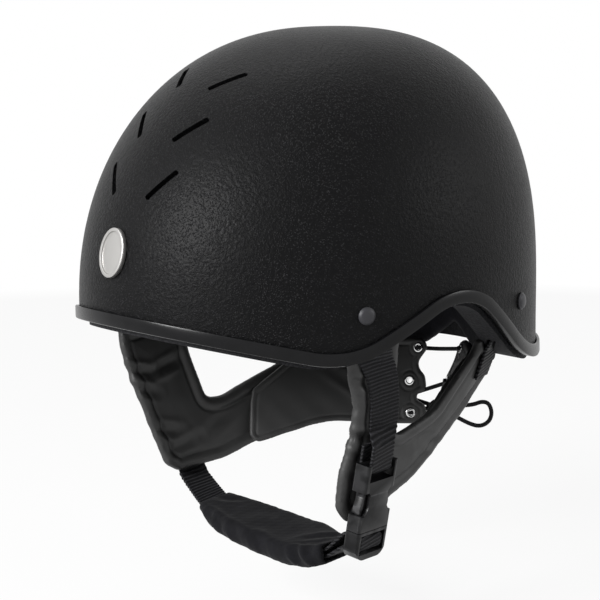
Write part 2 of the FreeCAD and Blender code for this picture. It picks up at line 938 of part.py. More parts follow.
def rivet_washers():
    high = -shell_wall - web_under_shell - web_thick - web_gap
    low = high - washer_thick
    bore = rivet_bore / 2
    outline = [(bore, low), (washer_size / 2, low), (washer_size / 2, high), (bore, high)]
    return Part.makeCompound([turned(outline, point, out) for _, point, out in rivet_places()])


def eyelet_row(places):
    """Flanged eyelets of the left flap."""
    bore = eyelet_bore / 2
    tube = bore + eyelet_flange
    face = eyelet_outer / 2
    high = trim_fit
    low = -flap_wall - trim_fit
    outline = [(bore, high + eyelet_flange), (face, high + eyelet_flange), (face, high),
               (tube, high), (tube, low), (face, low), (face, low - eyelet_flange),
               (bore, low - eyelet_flange)]
    rings = []
    for distance, z in places:
        point = flap_spot(distance, z, 1, 0)
        rings.append(turned(outline, point, flap_spot(distance, z, 1, 1) - point))
    return Part.makeCompound(rings)


# Lace

def cord_section(centre, way, size):
    """Regular polygon of a cord's section, square to its way."""
    across = way.cross(Vector(0, 0, 1)).normalize()
    rise = across.cross(way).normalize()
    corners = []
    for index in range(lace_sides + 1):
        angle = 2 * math.pi * index / lace_sides
        corners.append(centre + (across * math.cos(angle) + rise * math.sin(angle)) * (size / 2))
    return Part.makePolygon(corners)


def cord(points, size, name, folds=()):
    """Round cord along straight runs joined by tangent arcs, tight at the folds' indices."""
    count = len(points)
    runs = [(second - first).Length for first, second in zip(points, points[1:])]
    stops = [(points[0], points[0])]
    arcs = [None]
    radii = []
    for index in range(1, count - 1):
        before = points[index] - points[index - 1]
        after = points[index + 1] - points[index]
        turn = before.getAngle(after)
        radius = 0.45 * min(runs[index - 1], runs[index]) / math.tan(turn / 2)
        if index in folds:
            radius = min(radius, lace_fold)
        start, middle, end = corner_arc(points[index - 1], points[index], points[index + 1], radius)
        stops.append((start, end))
        arcs.append(Part.Arc(start, middle, end).toShape())
        radii.append(radius)
    stops.append((points[-1], points[-1]))
    edges = []
    for index in range(count - 1):
        if arcs[index]:
            edges.append(arcs[index])
        edges.append(Part.LineSegment(stops[index][1], stops[index + 1][0]).toShape())
    path = Part.Wire(edges)
    profile = cord_section(points[0], points[1] - points[0], size)
    print("%s: length %.1f, least radius %.1f" % (name, path.Length, min(radii)))
    return path.makePipeShell([profile], True, False)


def lace_end(index, side):
    """Lace route at an eyelet: inside the flap, through it, and on towards the flap's edge."""
    distance, z = (left_eyelets if side > 0 else right_eyelets)[index]
    return [flap_spot(distance, z, side, -lace_stub - flap_wall),
            flap_spot(distance, z, side, lace_loop_out),
            flap_spot(distance + lace_lead, z, side, lace_stand_off)]


def nape_lace():
    """Lacing of the two nape flaps: a bar across the top, and three cords to the knot."""
    knot = Vector(*knot_place)
    top_bar = lace_end(0, 1) + lace_end(0, -1)[::-1]
    notch = [flap_spot(distance, z, -1, lace_over_notch) for distance, z in lace_notch]
    routes = [("lace bar", top_bar, (1, len(top_bar) - 2)),
              ("lace through notch", lace_end(1, 1) + notch + [knot], (1,)),
              ("left lace", lace_end(2, 1) + [knot], (1,)),
              ("right lace", lace_end(2, -1)[:2] + [knot], (1,))]
    cords = [cord(route, lace_size, name, folds) for name, route, folds in routes]
    room = Part.makeSphere(knot_core + web_gap, knot)
    return Part.makeCompound([piece.cut(room) for piece in cords])


def lace_knot():
    """Two crossing turns of lace round a core."""
    centre = Vector(*knot_place)
    turns = [2 * math.pi * index / lace_sides for index in range(lace_sides)]
    half = [angle for angle in turns if angle <= math.pi + 0.001]
    core = turned([(knot_core * math.sin(angle), knot_core * math.cos(angle)) for angle in half],
                  centre, Vector(0, 1, 0))
    ring = [(knot_ring + lace_size / 2 * math.cos(angle), lace_size / 2 * math.sin(angle))
            for angle in turns]
    return core.fuse([turned(ring, centre, Vector(*axis)) for axis in knot_turns])


def bow_loop():
    """Loop of the bow, in an upright plane that heads out from the knot."""
    heading = math.radians(bow_heading)
    along = Vector(math.cos(heading), math.sin(heading), 0)
    knot = Vector(*knot_place)
    start = knot_ring + lace_size / 2
    route = [knot + along * (distance + start) + Vector(0, 0, rise)
             for distance, rise in bow_route]
    return cord(route, lace_size, "bow loop")


# Buckle

def slab(outline, low, high):
    """Plate from an (x, z) outline of the buckle's frame, between two y faces."""
    face = Part.Face(Part.Wire(rounded_edges(outline, True)))
    face.transformShape(frame(Vector(0, 0, 0), Vector(1, 0, 0), Vector(0, 0, 1)))
    face.translate(Vector(0, high, 0))
    return face.extrude(Vector(0, low - high, 0))


def block(width, thick, low, high):
    return Part.makeBox(width, thick, high - low, Vector(-width / 2, -thick / 2, low))


def upright(width, thick, low, high, radius):
    """Upright block with rounded long edges."""
    half = width / 2
    deep = thick / 2
    corners = [(-half, -deep, radius), (half, -deep, radius), (half, deep, radius),
               (-half, deep, radius)]
    face = Part.Face(Part.Wire(rounded_edges(corners, True)))
    face.translate(Vector(0, 0, low))
    return face.extrude(Vector(0, 0, high - low))


def finger_window(side):
    """Side window where the prong shows, scooped out of both faces."""
    corners = [(side * (buckle_width / 2 - depth), z, radius)
               for depth, z, radius in window_outline]
    return slab(corners, -buckle_thick, buckle_thick)


def buckle_socket():
    """Female half: cavity with side windows, slot and bar for the web."""
    body = upright(buckle_width, buckle_thick, 0, socket_length, buckle_round)
    cuts = [block(cavity_width, cavity_thick, -1, cavity_depth)]
    cuts += [finger_window(1), finger_window(-1)]
    cuts.append(block(slot_width, 2 * buckle_thick, web_slot_low, web_slot_high))
    top = socket_length + 1
    for low, high in ((-buckle_thick, web_bar[0]), (web_bar[1], buckle_thick)):
        cuts.append(Part.makeBox(slot_width, high - low, top - web_slot_high,
                                 Vector(-slot_width / 2, low, web_slot_high)))
    return in_buckle(body.cut(cuts))


def buckle_plug():
    """Male half: rounded base with a bar for the web, and the guide tongue."""
    half = buckle_width / 2
    top = -plug_gap
    toe = half - plug_toe
    shoulder = -plug_length + plug_shoulder
    corners = [(-half, top, 0.0), (half, top, 0.0), (half, shoulder, plug_shoulder_round),
               (toe, -plug_length, plug_corner), (-toe, -plug_length, plug_corner),
               (-half, shoulder, plug_shoulder_round)]
    base = slab(corners, -buckle_thick / 2, buckle_thick / 2)
    base = base.common(upright(buckle_width, buckle_thick, -2 * plug_length, 0, buckle_round))
    room = block(slot_width, 2 * buckle_thick, plug_slots[1], plug_slots[0])
    bar = Part.makeBox(slot_width, plug_bar_faces[1] - plug_bar_faces[0],
                       plug_bar[0] - plug_bar[1],
                       Vector(-slot_width / 2, plug_bar_faces[0], plug_bar[1]))
    neck_width = cavity_width - 2 * plug_gap
    neck_thick = cavity_thick - 2 * plug_gap
    neck = block(neck_width, neck_thick, 2 * top, 0)
    tongue = block(tongue_width, neck_thick, top, tongue_length)
    return in_buckle(base.cut(room).fuse([bar, neck, tongue]))


def prong(side):
    """Sprung prong with its catch, in the buckle's socket."""
    outline = [(side * x, z, radius) for x, z, radius in prong_outline]
    return in_buckle(slab(outline, -prong_thick / 2, prong_thick / 2))


# Chin strap

def across_way(turn, tilt):
    turn = math.radians(turn)
    tilt = math.radians(tilt)
    return Vector(-math.sin(turn) * math.cos(tilt), math.cos(turn) * math.cos(tilt), math.sin(tilt))


def chin_web():
    stations = []
    for centre, turn, tilt in chin_course:
        stations.append((Vector(*centre), across_way(turn, tilt), web_width, web_thick))
    return strip(stations, False)


def plug_web():
    """Web that loops round the plug's bar, both layers going into the sleeve."""
    return in_buckle(ribbon(plug_web_route, web_width, web_thick))


def oval_wire(centre, across, normal, width, thick):
    """Flat oval with straight long sides."""
    side = across * ((width - thick) / 2)
    rise = normal * (thick / 2)
    tip = across * (width / 2)
    corners = [centre - side - rise, centre + side - rise, centre + side + rise,
               centre - side + rise]
    return Part.Wire([
        Part.LineSegment(corners[0], corners[1]).toShape(),
        Part.Arc(corners[1], centre + tip, corners[2]).toShape(),
        Part.LineSegment(corners[2], corners[3]).toShape(),
        Part.Arc(corners[3], centre - tip, corners[0]).toShape()])


def chin_pad():
    """Padded fabric sleeve round the chin web."""
    wires = []
    bore = []
    last = len(sleeve_course) - 1
    for index, (centre, turn, tilt, size, room) in enumerate(sleeve_course):
        across = across_way(turn, tilt)
        before = Vector(*sleeve_course[max(index - 1, 0)][0])
        after = Vector(*sleeve_course[min(index + 1, last)][0])
        normal = (after - before).cross(across).normalize()
        wires.append(oval_wire(Vector(*centre), across, normal, *size))
        ahead = (after - before).normalize() * (index == last) - (
            after - before).normalize() * (index == 0)
        bore.append((Vector(*centre) + ahead, across, *room))
    return Part.makeLoft(wires, True, False).cut(strip(bore, False))


def joint_places():
    """Say where the buckle's release and its two prongs move."""
    nape, wearer, up = buckle_ways()
    print("release: from %s along %s, %.1f" % (Vector(*buckle_place), up * -1, release_travel))
    for side, name in ((-1, "prong_front"), (1, "prong_rear")):
        pivot = Vector(*buckle_place) + nape * (side * prong_pivot[0]) + up * prong_pivot[1]
        print("%s: pivot %s, axis %s, %.1f" % (name, pivot, wearer * side, prong_angle))


if __name__ == "__main__":
    os.makedirs("parts", exist_ok=True)
    export(outer_shell(), "outer_shell")
    export(edge_trim(), "edge_trim")
    export(front_badge(), "front_badge")
    export(impact_liner(), "impact_liner")
    export(headband_pad(), "headband_pad")
    export(nape_pad(), "nape_pad")
    export(crown_pad(), "crown_pad")
    for name, point, out in rivet_places():
        export(rivet(point, out), name)
    export(rivet_washers(), "rivet_washers")
    export(harness_pad(left_pad_outline), "left_harness_pad")
    export(mirrored(harness_pad(right_pad_outline)), "right_harness_pad")
    export(left_front_web(), "left_front_web")
    export(right_front_web(), "right_front_web")
    export(rear_web(), "left_rear_web")
    export(mirrored(rear_web()), "right_rear_web")
    export(nape_flap(left_flap_outline, left_eyelets), "left_nape_flap")
    export(mirrored(nape_flap(right_flap_outline, right_eyelets)), "right_nape_flap")
    export(eyelet_row(left_eyelets), "left_eyelets")
    export(mirrored(eyelet_row(right_eyelets)), "right_eyelets")
    export(nape_lace(), "nape_lace")
    export(lace_knot(), "lace_knot")
    export(bow_loop(), "bow_loop")
    export(buckle_socket(), "buckle_socket")
    export(buckle_plug(), "buckle_plug")
    export(prong(-1), "prong_front")
    export(prong(1), "prong_rear")
    export(chin_web(), "chin_web")
    export(plug_web(), "plug_web")
    export(chin_pad(), "chin_pad")
    joint_places()
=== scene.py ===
import logging
import math
from dataclasses import dataclass
from enum import Enum
from typing import Callable, Dict, List, Sequence, Tuple

import bmesh
import bpy
import numpy as np
from mathutils import Matrix, Vector, kdtree


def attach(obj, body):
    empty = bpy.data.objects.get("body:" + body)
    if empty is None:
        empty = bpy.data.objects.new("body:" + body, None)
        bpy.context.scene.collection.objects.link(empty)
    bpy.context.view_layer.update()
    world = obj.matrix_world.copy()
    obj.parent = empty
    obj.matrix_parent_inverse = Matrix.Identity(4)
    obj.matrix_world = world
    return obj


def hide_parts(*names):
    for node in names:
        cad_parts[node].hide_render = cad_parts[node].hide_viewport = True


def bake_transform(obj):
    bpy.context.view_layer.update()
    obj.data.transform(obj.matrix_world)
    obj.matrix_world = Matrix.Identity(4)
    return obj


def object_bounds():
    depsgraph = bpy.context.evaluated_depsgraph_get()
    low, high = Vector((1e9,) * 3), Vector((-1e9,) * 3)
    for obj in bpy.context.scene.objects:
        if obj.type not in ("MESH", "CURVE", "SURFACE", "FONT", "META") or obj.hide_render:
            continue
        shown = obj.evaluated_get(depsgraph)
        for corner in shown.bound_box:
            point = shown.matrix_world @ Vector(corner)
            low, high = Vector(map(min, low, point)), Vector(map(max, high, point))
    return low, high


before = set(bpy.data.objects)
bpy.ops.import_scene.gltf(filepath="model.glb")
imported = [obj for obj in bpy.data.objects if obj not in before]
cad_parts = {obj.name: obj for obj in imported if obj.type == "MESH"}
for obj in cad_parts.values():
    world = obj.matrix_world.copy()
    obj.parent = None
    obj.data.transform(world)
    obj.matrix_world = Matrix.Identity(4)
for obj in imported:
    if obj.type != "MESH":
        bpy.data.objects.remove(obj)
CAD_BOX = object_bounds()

MM = 0.001
WHITE = (1.0, 1.0, 1.0, 1.0)
Triple = Tuple[float, float, float]
log = logging.getLogger("skull_cap")

HELMET = "helmet"
STRAP = "chin_strap"

WELD_REACH = 0.01 * MM
BEVEL_FROM = math.radians(35)
SPLIT_FROM = math.radians(32)
SHARP_FROM = math.radians(50)

WAVE_COUNT = 7
WAVE_SPREAD = (0.7, 1.5)
WAVE_GAIN = 1.6


class Graph:
    """Short hand for filling a node tree."""

    def __init__(self, tree: bpy.types.NodeTree) -> None:
        """Keep the tree that is filled."""
        self.tree = tree

    def node(self, kind: str, inputs: Dict = None, **settings) -> bpy.types.Node:
        """Add a node.

        Args:
            kind: Blender's name of the node type.
            inputs: values or linked sockets by input name or index.
            settings: plain properties of the node.

        Returns:
            The new node.
        """
        made = self.tree.nodes.new(kind)
        for name, value in settings.items():
            setattr(made, name, value)
        for key, value in (inputs or {}).items():
            if isinstance(value, bpy.types.NodeSocket):
                self.tree.links.new(value, made.inputs[key])
            else:
                made.inputs[key].default_value = value
        return made

    def math(self, operation: str, first, second=0.0, clamp: bool = False) -> bpy.types.NodeSocket:
        """One arithmetic step.

        Args:
            operation: the Math node's operation.
            first: a socket or a number.
            second: a socket or a number.
            clamp: keep the result between 0 and 1.

        Returns:
            The result's socket.
        """
        return self.node("ShaderNodeMath", {0: first, 1: second}, operation=operation,
                         use_clamp=clamp).outputs[0]

    def times(self, first, second) -> bpy.types.NodeSocket:
        """Product of two sockets or numbers."""
        return self.math("MULTIPLY", first, second)

    def plus(self, first, second) -> bpy.types.NodeSocket:
        """Sum of two sockets or numbers."""
        return self.math("ADD", first, second)

    def vector(self, operation: str, inputs: Dict, output="Vector") -> bpy.types.NodeSocket:
        """One step of vector arithmetic, as the socket of its output."""
        return self.node("ShaderNodeVectorMath", inputs, operation=operation).outputs[output]

    def mix(self, share, first, second) -> bpy.types.NodeSocket:
        """Mix two colours.

        Args:
            share: how much of the second colour shows.
            first: a socket or a colour.
            second: a socket or a colour.

        Returns:
            The mixed colour's socket.
        """
        made = self.tree.nodes.new("ShaderNodeMix")
        made.data_type = "RGBA"
        for key, value in ((0, share), (6, first), (7, second)):
            if isinstance(value, bpy.types.NodeSocket):
                self.tree.links.new(value, made.inputs[key])
            else:
                made.inputs[key].default_value = value
        return made.outputs[2]

    def noise(self, place, scale, detail: float = 3.0) -> bpy.types.NodeSocket:
        """Soft cloud noise from 0 to 1 at a scale, as a socket."""
        return self.node("ShaderNodeTexNoise", {"Vector": place, "Scale": scale, "Detail": detail}
                         ).outputs[0]

    def cells(self, place, scale, feature: str = "F1") -> bpy.types.NodeSocket:
        """Distance pattern of scattered cells at a scale, as a socket."""
        return self.node("ShaderNodeTexVoronoi", {"Vector": place, "Scale": scale},
                         feature=feature).outputs["Distance"]

    def span(self, value, low: float, high: float) -> bpy.types.NodeSocket:
        """Stretch a value so that low becomes 0 and high becomes 1, clamped."""
        return self.node("ShaderNodeMapRange", {0: value, 1: low, 2: high}).outputs[0]


def spray(graph: Graph, place, scale, direction, dot_span=(0.42, 0.12), mist_scale=0.55,
          mist_span=(0.45, 0.7), dot_relief=0.45) -> Tuple:
    """Fine sprayed speckle of a matte shell: mask of painted glints on its raised dots, and
    height.
    """
    dots = graph.span(graph.cells(place, scale), *dot_span)
    mist = graph.noise(place, graph.times(scale, mist_scale), 5.0)
    height = graph.plus(graph.times(dots, dot_relief), mist)
    # The raised dots are painted lighter, as glints, wherever they are on the shell.
    return graph.times(dots, graph.span(mist, *mist_span)), height


def grain(graph: Graph, place, scale, direction, bend=1.1 * MM, bend_scale=0.6,
          pebble_span=(0.0, 0.22), pore_span=(0.12, 0.0), fine_scale=3.2, relief=(0.8, 0.3)
          ) -> Tuple:
    """Pebbled leather grain with soft pores: mask and height."""
    drift = graph.node("ShaderNodeTexNoise", {
        "Vector": place, "Scale": graph.times(scale, bend_scale)}).outputs["Color"]
    bent = graph.vector("ADD", {0: place, 1: graph.vector("SCALE", {0: drift, "Scale": bend})})
    edge = graph.cells(bent, scale, "DISTANCE_TO_EDGE")
    pebble = graph.span(edge, *pebble_span)
    fine = graph.noise(place, graph.times(scale, fine_scale), 2.0)
    height = graph.plus(graph.times(pebble, relief[0]), graph.times(fine, relief[1]))
    return graph.span(edge, *pore_span), height


def ribs(graph: Graph, place, scale, direction, wander=1.2 * MM, wander_scale=90.0,
         yarn_scale=2.6, yarn_relief=0.5, yarn_span=(0.2, 0.6), crest_highlight_power=1.6) -> Tuple:
    """Cross ribs of woven webbing with their yarns: mask of a painted highlight on the rib crests,
    broken by the yarns, and height.
    """
    reach = graph.vector("DOT_PRODUCT", {0: place, 1: direction}, "Value")
    drift = graph.times(graph.noise(place, wander_scale, 1.0), wander)
    phase = graph.times(graph.plus(reach, drift), scale)
    wave = graph.math("SINE", graph.times(phase, 2 * math.pi))
    rib = graph.span(wave, -1.0, 1.0)
    yarn = graph.noise(place, graph.times(scale, yarn_scale), 2.0)
    height = graph.plus(rib, graph.times(yarn, yarn_relief))
    # The rib crests are painted lighter, a painted highlight that follows the ribs' height.
    return graph.times(graph.math("POWER", rib, crest_highlight_power), graph.span(yarn, *yarn_span)), height


def plush(graph: Graph, place, scale, direction, lay_scale=0.12) -> Tuple:
    """Short soft pile: mask and height."""
    pile = graph.noise(place, scale, 4.0)
    lay = graph.noise(place, graph.times(scale, lay_scale), 2.0)
    return graph.times(pile, lay), graph.plus(pile, lay)


def beads(graph: Graph, place, scale, direction, bead_span=(0.0, 0.3), gap_span=(0.1, 0.0)
          ) -> Tuple:
    """Fused beads of moulded foam: mask and height."""
    edge = graph.cells(place, scale, "DISTANCE_TO_EDGE")
    return graph.span(edge, *gap_span), graph.span(edge, *bead_span)


def braid(graph: Graph, place, scale, direction, slant_share=0.4, strand_span=(-0.4, 1.0)
          ) -> Tuple:
    """Crossing strands of a braided lace: a painted highlight on the raised strands, which is also
    their height.
    """
    parts = graph.node("ShaderNodeSeparateXYZ", {0: place}).outputs
    flat = graph.plus(parts[0], graph.times(parts[1], slant_share))
    turns = graph.times(scale, 2 * math.pi)
    waves = []
    for sign in (1.0, -1.0):
        slant = graph.plus(flat, graph.times(parts[2], sign))
        waves.append(graph.math("SINE", graph.times(slant, turns)))
    height = graph.span(graph.math("MAXIMUM", *waves), *strand_span)
    # The raised strands are painted lighter, a painted highlight that follows their height.
    return height, height


def moulded(graph: Graph, place, scale, direction, cloud_scale=0.08, edge_span=(0.52, 0.60),
            cloud_span=(0.3, 0.6)) -> Tuple:
    """Fine mould texture with rubbed edges: mask and height."""
    point = graph.node("ShaderNodeNewGeometry").outputs["Pointiness"]
    cloud = graph.noise(place, graph.times(scale, cloud_scale), 3.0)
    rubbed = graph.times(graph.span(point, *edge_span), graph.span(cloud, *cloud_span))
    return rubbed, graph.noise(place, scale, 3.0)


class Effect(Enum):
    """Surface effects that the finishes share."""

    SPRAY = "spray"
    GRAIN = "grain"
    RIBS = "ribs"
    PLUSH = "plush"
    BEADS = "beads"
    BRAID = "braid"
    MOULDED = "moulded"


CLOUD_SCALE = 26.0
CLOUD_SPAN = (0.35, 0.7)
CLOUD_MEAN = 0.5

FILLERS: Dict[Effect, Callable] = {
    Effect.SPRAY: spray, Effect.GRAIN: grain, Effect.RIBS: ribs, Effect.PLUSH: plush,
    Effect.BEADS: beads, Effect.BRAID: braid, Effect.MOULDED: moulded,
}


def effect_group(effect: Effect) -> bpy.types.NodeTree:
    """The node group of an effect, built once.

    Args:
        effect: which effect.

    Returns:
        A group with inputs Base, Accent, Scale, Rough, Rough Swing, Cloudiness and Direction, and
        outputs Color, Roughness and Height.
    """
    name = "surface_" + effect.value
    found = bpy.data.node_groups.get(name)
    if found:
        return found
    tree = bpy.data.node_groups.new(name, "ShaderNodeTree")
    sockets = tree.interface
    for label, kind in (("Base", "NodeSocketColor"), ("Accent", "NodeSocketColor"),
                        ("Scale", "NodeSocketFloat"), ("Rough", "NodeSocketFloat"),
                        ("Rough Swing", "NodeSocketFloat"), ("Cloudiness", "NodeSocketFloat"),
                        ("Direction", "NodeSocketVector")):
        sockets.new_socket(name=label, in_out="INPUT", socket_type=kind)
    for label, kind in (("Color", "NodeSocketColor"), ("Roughness", "NodeSocketFloat"),
                        ("Height", "NodeSocketFloat")):
        sockets.new_socket(name=label, in_out="OUTPUT", socket_type=kind)
    graph = Graph(tree)
    given = graph.node("NodeGroupInput").outputs
    place = graph.node("ShaderNodeTexCoord").outputs["Object"]
    mask, height = FILLERS[effect](graph, place, given["Scale"], given["Direction"])
    cloud = graph.noise(place, CLOUD_SCALE, 3.0)
    shade = graph.times(graph.span(cloud, *CLOUD_SPAN), given["Cloudiness"])
    # For spray, ribs and braid the mask is painted light: glints on dots, highlights on crests and
    # strands; for the others it is the surface's own tone.
    color = graph.mix(mask, given["Base"], given["Accent"])
    color = graph.mix(shade, color, given["Accent"])
    swing = graph.times(graph.math("SUBTRACT", cloud, CLOUD_MEAN), given["Rough Swing"])
    rough = graph.math("ADD", given["Rough"], swing, clamp=True)
    graph.node("NodeGroupOutput", {"Color": color, "Roughness": rough, "Height": height})
    return tree


@dataclass(frozen=True)
class Finish:
    """One material: its record slot, its colours and the effect that gives its surface."""

    name: str
    slot: str
    effect: Effect
    base: Triple
    accent: Triple
    per_mm: float
    rough: float
    relief_mm: float
    swing: float = 0.12
    cloudiness: float = 0.15
    metallic: float = 0.0
    specular: float = 0.5
    sheen: float = 0.0
    direction: Triple = (0.0, 0.0, 1.0)
    strength: float = 0.6

    def material(self) -> bpy.types.Material:
        """The Blender material of this finish, built once."""
        found = bpy.data.materials.get(self.name)
        if found:
            return found
        made = bpy.data.materials.new(self.name)
        made.use_nodes = True
        made.node_tree.nodes.clear()
        graph = Graph(made.node_tree)
        surface = graph.node("ShaderNodeGroup", node_tree=effect_group(self.effect))
        for label, value in (("Base", (*self.base, 1.0)), ("Accent", (*self.accent, 1.0)),
                             ("Scale", self.per_mm / MM), ("Rough", self.rough),
                             ("Rough Swing", self.swing), ("Cloudiness", self.cloudiness),
                             ("Direction", self.direction)):
            surface.inputs[label].default_value = value
        bump = graph.node("ShaderNodeBump", {"Height": surface.outputs["Height"],
                                             "Distance": self.relief_mm * MM,
                                             "Strength": self.strength})
        shader = graph.node("ShaderNodeBsdfPrincipled", {
            "Base Color": surface.outputs["Color"], "Roughness": surface.outputs["Roughness"],
            "Normal": bump.outputs[0], "Metallic": self.metallic,
            "Specular IOR Level": self.specular, "Sheen Weight": self.sheen})
        graph.node("ShaderNodeOutputMaterial", {"Surface": shader.outputs[0]})
        return made


# Shell accent: the colour of the painted glints on the spray dots, with a trace of random cloudy
# tone.
SHELL = Finish("shell_spray_black", "shell_black", Effect.SPRAY, (0.0025, 0.0025, 0.0028),
               (0.030, 0.030, 0.032), 1.05, 0.42, 0.42, cloudiness=0.01, specular=0.09,
               strength=1.0)
TRIM = Finish("trim_satin_black", "trim_black", Effect.MOULDED, (0.003, 0.003, 0.0034),
              (0.008, 0.008, 0.009), 1.6, 0.27, 0.03, cloudiness=0.04, specular=0.18)
BADGE = Finish("badge_pewter", "badge_pewter", Effect.MOULDED, (0.085, 0.083, 0.081),
               (0.16, 0.157, 0.153), 1.1, 0.60, 0.05, metallic=1.0, cloudiness=0.35)
FOAM = Finish("liner_bead_foam", "liner_foam", Effect.BEADS, (0.020, 0.020, 0.022),
              (0.007, 0.007, 0.008), 0.38, 0.75, 0.25, specular=0.15)
PLUSH = Finish("lining_plush", "pad_plush", Effect.PLUSH, (0.004, 0.004, 0.005),
               (0.020, 0.020, 0.026), 2.2, 0.92, 0.35, sheen=0.08, specular=0.08)
LEATHER = Finish("harness_leather", "harness_leather", Effect.GRAIN, (0.0025, 0.0025, 0.0025),
                 (0.0012, 0.0012, 0.0012), 0.80, 0.27, 0.22, cloudiness=0.05, specular=0.10)
# Webbing accent: mostly the painted highlight on the rib crests, also random cloudy tone.
WEB = Finish("webbing_ribbed", "webbing_black", Effect.RIBS, (0.0025, 0.0025, 0.003),
             (0.036, 0.036, 0.040), 0.52, 0.58, 0.45, specular=0.12, sheen=0.02,
             direction=(0.0, -0.16, 0.99), strength=1.0)
# Chin webbing accent: mostly the painted highlight on the rib crests, also random cloudy tone.
STRAP_WEB = Finish("webbing_ribbed_chin", "webbing_black", Effect.RIBS, (0.0025, 0.0025, 0.003),
                   (0.030, 0.030, 0.034), 0.50, 0.58, 0.45, specular=0.12, sheen=0.02,
                   direction=(1.0, 0.1, 0.0), strength=1.0)
RIVET = Finish("rivet_black", "rivet_black", Effect.MOULDED, (0.003, 0.003, 0.0034),
               (0.010, 0.010, 0.010), 1.5, 0.28, 0.02, specular=0.12)
STEEL = Finish("eyelet_steel", "eyelet_steel", Effect.MOULDED, (0.48, 0.48, 0.48),
               (0.66, 0.66, 0.66), 1.2, 0.24, 0.02, metallic=1.0)
# Lace accent: mostly the painted highlight on the raised strands, also random cloudy tone.
LACE = Finish("lace_braided", "lace_black", Effect.BRAID, (0.003, 0.003, 0.0035),
              (0.018, 0.018, 0.020), 0.75, 0.72, 0.25, sheen=0.05, specular=0.15)
PLASTIC = Finish("buckle_plastic", "buckle_black", Effect.MOULDED, (0.003, 0.003, 0.0034),
                 (0.05, 0.05, 0.052), 3.0, 0.30, 0.02, cloudiness=0.02, specular=0.17)
SLEEVE = Finish("sleeve_knit", "sleeve_fabric", Effect.PLUSH, (0.003, 0.003, 0.0036),
                (0.015, 0.015, 0.018), 1.5, 0.85, 0.25, sheen=0.04, specular=0.08)
# Thread accent: mostly the painted highlight on the raised strands, also random cloudy tone.
THREAD = Finish("stitch_thread", "harness_leather", Effect.BRAID, (0.006, 0.006, 0.0065),
                (0.025, 0.025, 0.027), 1.5, 0.6, 0.05, specular=0.2)


def dress(piece: bpy.types.Object, finish: Finish) -> bpy.types.Object:
    """Give a piece its material."""
    piece.data.materials.clear()
    piece.data.materials.append(finish.material())
    log.info("dressed %s with %s", piece.name, finish.name)
    return piece


def dress_node(node: str, finish: Finish, bevel_mm: float = 0.0) -> None:
    """Keep a CAD solid, with smooth faces, crisp edges and its material.

    Args:
        node: the CAD node's name.
        finish: its material.
        bevel_mm: width of a small bevel along its edges, or 0 for none.
    """
    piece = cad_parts[node]
    if "custom_normal" in piece.data.attributes:
        piece.data.attributes.remove(piece.data.attributes["custom_normal"])
    piece.data.polygons.foreach_set("use_smooth", [True] * len(piece.data.polygons))
    weld = piece.modifiers.new("weld", "WELD")
    weld.merge_threshold = WELD_REACH
    if bevel_mm:
        bevel = piece.modifiers.new("bevel", "BEVEL")
        bevel.width = bevel_mm * MM
        bevel.segments = 2
        bevel.limit_method = "ANGLE"
        bevel.angle_limit = BEVEL_FROM
    split = piece.modifiers.new("edges", "EDGE_SPLIT")
    split.split_angle = SPLIT_FROM
    dress(piece, finish)


def linked(name: str, mesh: bpy.types.Mesh) -> bpy.types.Object:
    """Put a mesh in the scene as a smooth-faced object."""
    piece = bpy.data.objects.new(name, mesh)
    bpy.context.scene.collection.objects.link(piece)
    mesh.polygons.foreach_set("use_smooth", [True] * len(mesh.polygons))
    return piece


def points_of(mesh: bpy.types.Mesh) -> np.ndarray:
    """Vertex places as rows."""
    places = np.zeros(len(mesh.vertices) * 3, np.float32)
    mesh.vertices.foreach_get("co", places)
    return places.reshape(-1, 3).astype(float)


def normals_of(mesh: bpy.types.Mesh) -> np.ndarray:
    """Vertex normals as rows."""
    ways = np.zeros(len(mesh.vertices) * 3, np.float32)
    mesh.vertex_normals.foreach_get("vector", ways)
    return ways.reshape(-1, 3).astype(float)


def push(mesh: bpy.types.Mesh, amount: np.ndarray) -> None:
    """Move each vertex along its normal by an amount in metres."""
    places = points_of(mesh) + normals_of(mesh) * amount[:, None]
    mesh.vertices.foreach_set("co", places.astype(np.float32).ravel())
    mesh.update()


@dataclass(frozen=True)
class Crease:
    """A fold pressed into a soft piece along a straight line, in millimetres.

    Its raised shoulders have a place and a width in widths of the fold, and a height in depths.
    """

    start: Triple
    end: Triple
    depth: float
    width: float
    shoulder_at: float = 1.9
    shoulder_width: float = 0.75
    shoulder_height: float = 0.45
    run_out: float = 0.04

    def amount(self, places: np.ndarray) -> np.ndarray:
        """How far each place moves along its normal, in metres."""
        start = np.array(self.start) * MM
        along = np.array(self.end) * MM - start
        share = np.clip(((places - start) @ along) / (along @ along), 0, 1)
        nearest = start + share[:, None] * along
        away = np.linalg.norm(places - nearest, axis=1) / (self.width * MM)
        furrow = np.exp(-away ** 2)
        shoulder = np.exp(-((away - self.shoulder_at) / self.shoulder_width) ** 2)
        fade = np.sqrt(np.sin(np.pi * np.clip(share, self.run_out, 1 - self.run_out)))
        return self.depth * MM * (self.shoulder_height * shoulder - furrow) * fade


def ripple(places: np.ndarray, wavelength_mm: float, seed: int) -> np.ndarray:
    """Smooth seeded waviness from -1 to 1 over a set of places."""
    draw = np.random.default_rng(seed)
    total = np.zeros(len(places))
    for _ in range(WAVE_COUNT):
        way = draw.normal(size=3)
        length = wavelength_mm * MM * draw.uniform(*WAVE_SPREAD)
        way *= 2 * math.pi / length / np.linalg.norm(way)
        total += np.sin(places @ way + draw.uniform(0, 2 * math.pi))
    return total / WAVE_COUNT * WAVE_GAIN


def ribbed(web: bpy.types.Object, finish: Finish, depth_mm: float) -> None:
    """Raise a web's cross ribs in its mesh, in step with its material's ribs."""
    reach = points_of(web.data) @ np.array(finish.direction)
    wave = np.sin(2 * math.pi * reach * finish.per_mm / MM)
    push(web.data, depth_mm * MM * wave)


